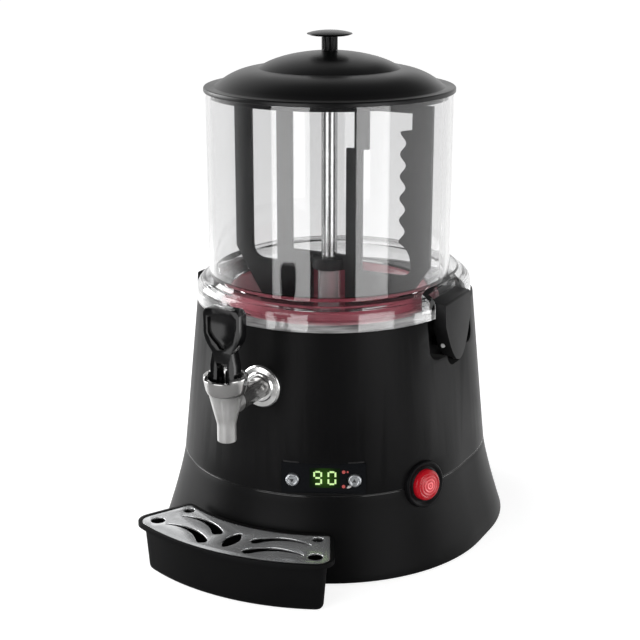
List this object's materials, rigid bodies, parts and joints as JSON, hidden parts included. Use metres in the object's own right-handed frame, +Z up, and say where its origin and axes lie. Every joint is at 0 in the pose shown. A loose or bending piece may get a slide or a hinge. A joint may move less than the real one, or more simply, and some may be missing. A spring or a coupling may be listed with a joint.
{
  "type": "heated sauce dispenser",
  "caption": "Table-top heated dispenser for warm sauce: clear stirred tank over a heated bowl on a flared black base, with domed lid, lever tap, drip tray and small digital panel.",
  "frame": {"origin": "under the middle of the footprint, on the table", "axes": "+Z up, -Y to the tap and the drip tray, +X to the side of the power switch"},
  "size_m": [0.3186, 0.4053, 0.4712],
  "materials": {
    "black_plastic": "satin moulded plastic",
    "dark_plate": "powder coat",
    "rubber": "matte",
    "zinc_screws": "zinc plated",
    "crimson_coat": "non-stick coat",
    "crimson_seal": "silicone",
    "steel": "satin",
    "motor_case": "cast",
    "display_glass": "tinted",
    "display_green": "lit",
    "led_red": "lit",
    "circuit_board": "lacquer",
    "button_silver": "satin",
    "lit_red": "lit",
    "clear_plastic": "clear",
    "grid_silver": "satin"
  },
  "bodies": {
    "base": {"base_skirt": "black_plastic", "body_cover": "black_plastic", "switch_bezel": "black_plastic", "control_panel": "black_plastic", "tap_bonnet": "black_plastic", "power_inlet": "black_plastic", "base_plate": "dark_plate", "rubber_feet": "rubber", "tap_gasket": "rubber", "base_screws": "zinc_screws", "motor_screws": "zinc_screws", "heating_bowl": "crimson_coat", "tank_seal": "crimson_seal", "heater_ring": "steel", "temperature_probe": "steel", "bearing_tower": "steel", "tower_nut": "steel", "motor_stand": "steel", "outlet_pipe": "steel", "tap_pins": "steel", "latch_pin_right": "steel", "latch_pin_left": "steel", "tap_nut": "steel", "tap_escutcheon": "steel", "tap_body": "steel", "gear_motor": "motor_case", "display_window": "display_glass", "display_segments": "display_green", "indicator_leds": "led_red", "control_board": "circuit_board", "tank": "clear_plastic"},
    "lid": {"lid_shell": "black_plastic", "lid_knob": "black_plastic", "lid_screw": "zinc_screws"},
    "stirrer": {"motor_output": "steel", "shaft_coupling": "steel", "drive_shaft": "steel", "stirring_paddle": "black_plastic", "paddle_screw": "zinc_screws"},
    "lever": {"tap_handle": "black_plastic"},
    "valve": {"tap_stem": "steel", "tap_plug": "rubber"},
    "latch_right": {"latch_right": "black_plastic"},
    "latch_left": {"latch_left": "black_plastic"},
    "tray": {"drip_tray": "black_plastic"},
    "grid": {"tray_grid": "grid_silver"},
    "button_down": {"button_down": "button_silver"},
    "button_up": {"button_up": "button_silver"},
    "power_button": {"power_button": "lit_red"}
  },
  "joints": [
    {"name": "lid_lift", "type": "slide", "parent": "base", "child": "lid", "axis": [0, 0, 1], "range_m": [0, 0.12]},
    {"name": "stirrer_turn", "type": "hinge", "parent": "base", "child": "stirrer", "pos_m": [0, 0.01333, 0.2], "axis": [0, 0, 1], "continuous": true},
    {"name": "lever_pull", "type": "hinge", "parent": "base", "child": "lever", "pos_m": [0, -0.17767, 0.197], "axis": [1, 0, 0], "range_deg": [0, 40], "stiffness_Nm_per_rad": 0.3},
    {"name": "valve_lift", "type": "slide", "parent": "base", "child": "valve", "axis": [0, 0, 1], "range_m": [0, 0.0042]},
    {"name": "latch_right_open", "type": "hinge", "parent": "base", "child": "latch_right", "pos_m": [0.1245, 0.01333, 0.196], "axis": [0, 1, 0], "range_deg": [0, 35]},
    {"name": "latch_left_open", "type": "hinge", "parent": "base", "child": "latch_left", "pos_m": [-0.1245, 0.01333, 0.196], "axis": [0, -1, 0], "range_deg": [0, 35]},
    {"name": "tray_draw", "type": "slide", "parent": "base", "child": "tray", "axis": [0, -1, 0], "range_m": [0, 0.1]},
    {"name": "grid_lift", "type": "slide", "parent": "tray", "child": "grid", "axis": [0, 0, 1], "range_m": [0, 0.06]},
    {"name": "button_down_press", "type": "slide", "parent": "base", "child": "button_down", "axis": [-0.4205, 0.9017, -0.1008], "range_m": [0, 0.0015], "stiffness_N_per_m": 400},
    {"name": "button_up_press", "type": "slide", "parent": "base", "child": "button_up", "axis": [-0.4205, 0.9017, -0.1008], "range_m": [0, 0.0015], "stiffness_N_per_m": 400},
    {"name": "power_press", "type": "slide", "parent": "base", "child": "power_button", "axis": [-0.9017, 0.4205, -0.1008], "range_m": [0, 0.0025], "stiffness_N_per_m": 400}
  ],
  "couplings": [
    {"joint": "valve_lift", "follows": "lever_pull", "m_per_rad": 0.005873}
  ]
}
